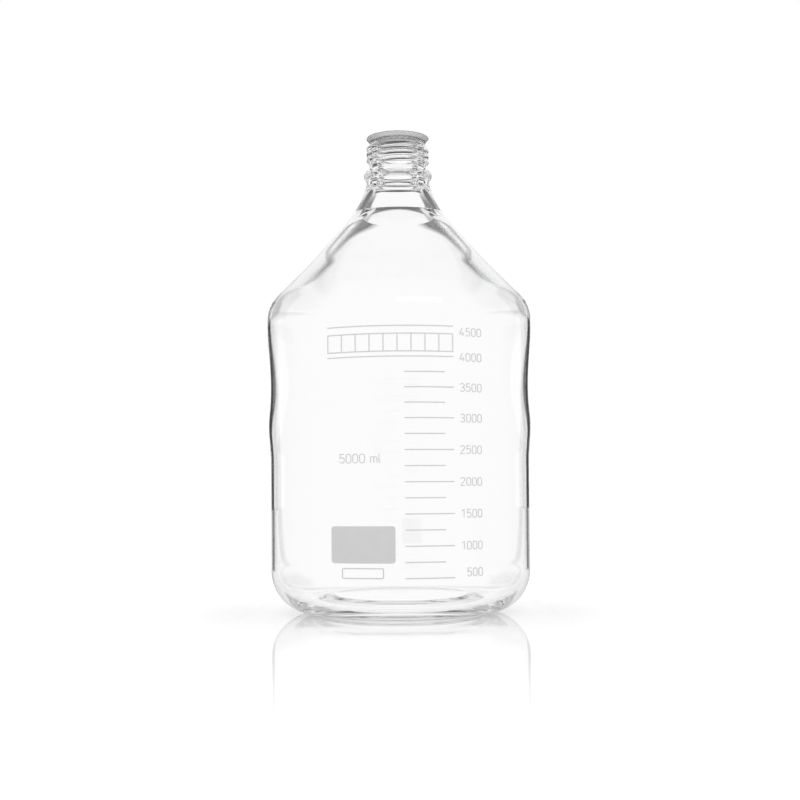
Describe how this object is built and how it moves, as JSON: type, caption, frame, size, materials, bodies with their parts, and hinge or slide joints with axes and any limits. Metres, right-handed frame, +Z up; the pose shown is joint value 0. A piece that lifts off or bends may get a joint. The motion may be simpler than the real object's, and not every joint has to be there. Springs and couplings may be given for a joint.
{
  "type": "laboratory bottle",
  "caption": "Round clear glass storage bottle with a conical shoulder, threaded neck, hand grips in its sides, a fired scale and a flared plastic pouring ring.",
  "frame": {"origin": "middle of the ring that the bottle stands on, on the table surface", "axes": "+Z up along the neck, -Y out of the printed front, +X and -X out of the two hand grips"},
  "size_m": [0.1846, 0.1847, 0.3339],
  "materials": {
    "glass": "clear fire-polished borosilicate glass",
    "ring": "translucent grey moulded plastic",
    "print": "fired pale grey enamel"
  },
  "bodies": {
    "root": {"glass_bottle": "glass", "pouring_ring": "ring", "scale_lines": "print", "writing_panel": "print", "label_boxes": "print"}
  },
  "joints": []
}
